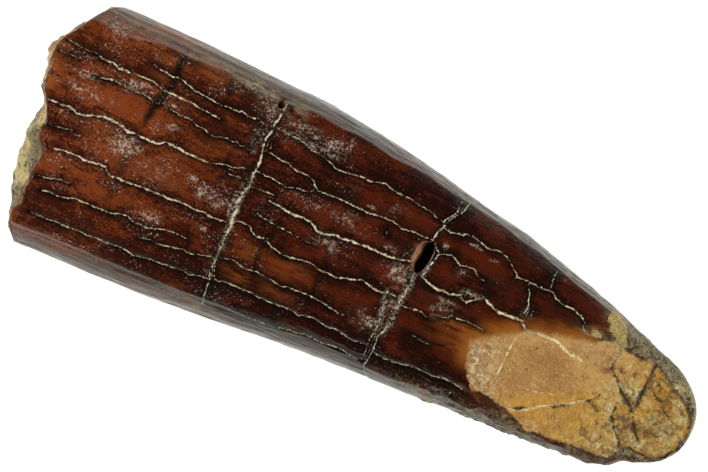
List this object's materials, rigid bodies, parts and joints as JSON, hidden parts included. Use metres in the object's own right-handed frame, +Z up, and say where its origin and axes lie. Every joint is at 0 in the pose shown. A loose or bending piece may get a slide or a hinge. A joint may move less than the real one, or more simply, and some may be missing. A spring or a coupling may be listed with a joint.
{
  "type": "fossil tooth",
  "caption": "Worn chisel-shaped fossil tooth crown with cracks across it, a flat wear facet at the tip and a broken base.",
  "frame": {"origin": "under the middle of the tooth, on the surface that it lies on", "axes": "+X along the tooth from the broken base to the tip, +Y across it, +Z up from the resting side to the inner side with the wear facet"},
  "size_m": [0.0296, 0.0104, 0.008],
  "materials": {
    "fossil_enamel": "smooth brown fossil enamel with a soft gloss"
  },
  "bodies": {
    "root": {"tooth": "fossil_enamel"}
  },
  "joints": []
}
